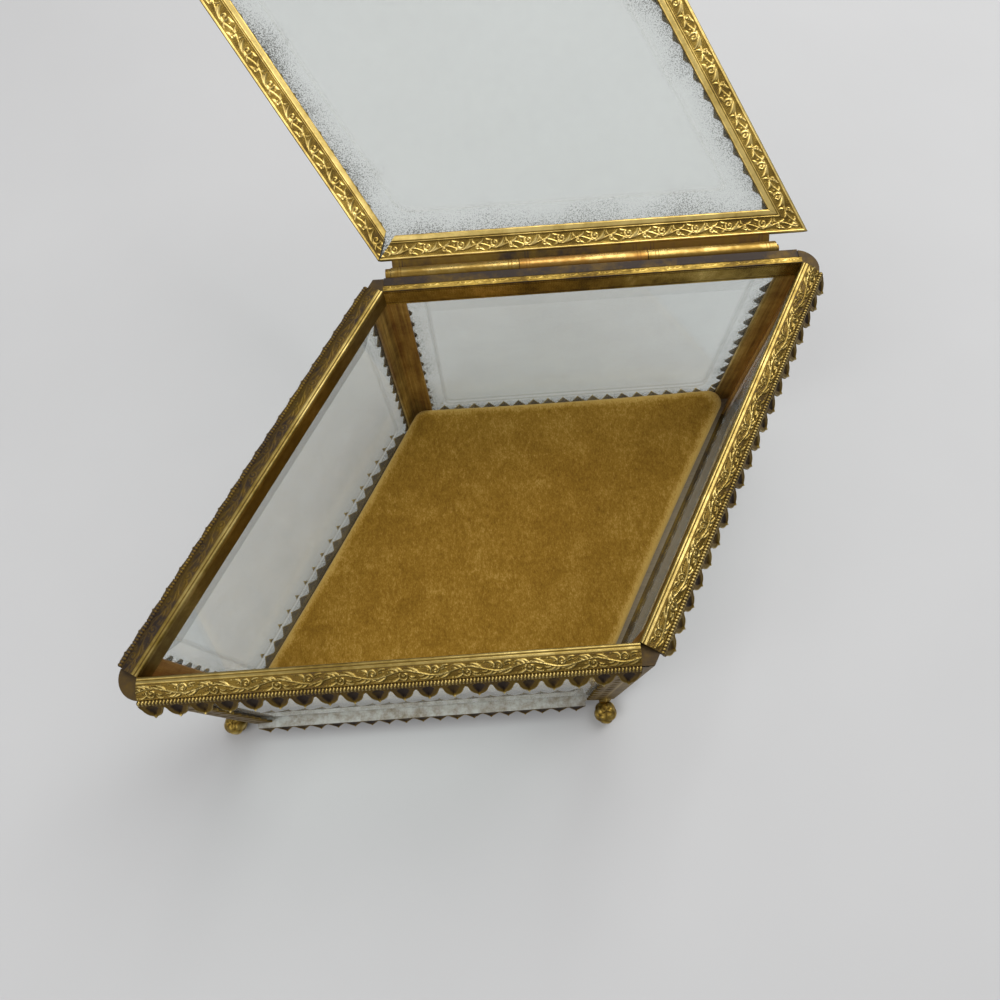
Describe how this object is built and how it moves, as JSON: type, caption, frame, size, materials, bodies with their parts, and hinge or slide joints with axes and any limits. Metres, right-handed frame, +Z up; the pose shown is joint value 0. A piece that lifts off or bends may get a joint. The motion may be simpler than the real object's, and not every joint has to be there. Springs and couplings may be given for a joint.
{
  "type": "glass casket box",
  "caption": "Rhombus-plan bevelled glass casket in stamped gilt mounts, with a velvet pad, a rear-hinged glass lid and ball feet; holds small keepsakes.",
  "frame": {"origin": "centre of the rhombus plan, on the plane that the four feet stand on", "axes": "+X along the front edge, +Y to the hinged back, +Z up"},
  "size_m": [0.178, 0.1967, 0.1343],
  "materials": {
    "gilt_brass": "worn gilt, stamped relief",
    "tarnished_brass": "dark tarnish",
    "brown_brass": "brown patina with vertical brush marks",
    "bevelled_glass": "clear, faintly green, bevelled",
    "board": "plain",
    "velvet": "short golden-brown pile"
  },
  "bodies": {
    "casket": {"rim_rail_front": "gilt_brass", "rim_rail_right": "gilt_brass", "rim_rail_back": "brown_brass", "rim_rail_left": "tarnished_brass", "pane_front": "bevelled_glass", "pane_right": "bevelled_glass", "pane_back": "bevelled_glass", "pane_left": "bevelled_glass", "inner_post_a": "brown_brass", "inner_post_b": "brown_brass", "inner_post_c": "brown_brass", "inner_post_d": "brown_brass", "outer_post_a": "tarnished_brass", "outer_post_b": "tarnished_brass", "outer_post_c": "tarnished_brass", "outer_post_d": "tarnished_brass", "base_strip_front": "tarnished_brass", "base_strip_right": "tarnished_brass", "base_strip_back": "tarnished_brass", "base_strip_left": "tarnished_brass", "floor_board": "board", "velvet_pad": "velvet", "foot_a": "gilt_brass", "foot_b": "gilt_brass", "foot_c": "gilt_brass", "foot_d": "gilt_brass", "hinge_body_leaf": "gilt_brass", "hinge_pin": "brown_brass"},
    "lid": {"lid_pane": "bevelled_glass", "lid_bar_front": "gilt_brass", "lid_bar_right": "gilt_brass", "lid_bar_back": "gilt_brass", "lid_bar_left": "gilt_brass", "hinge_lid_leaf": "gilt_brass"}
  },
  "joints": [
    {"name": "lid_hinge", "type": "hinge", "parent": "casket", "child": "lid", "pos_m": [0, 0.05277, 0.0773], "axis": [1, 0, 0], "range_deg": [0, 143.5]}
  ]
}
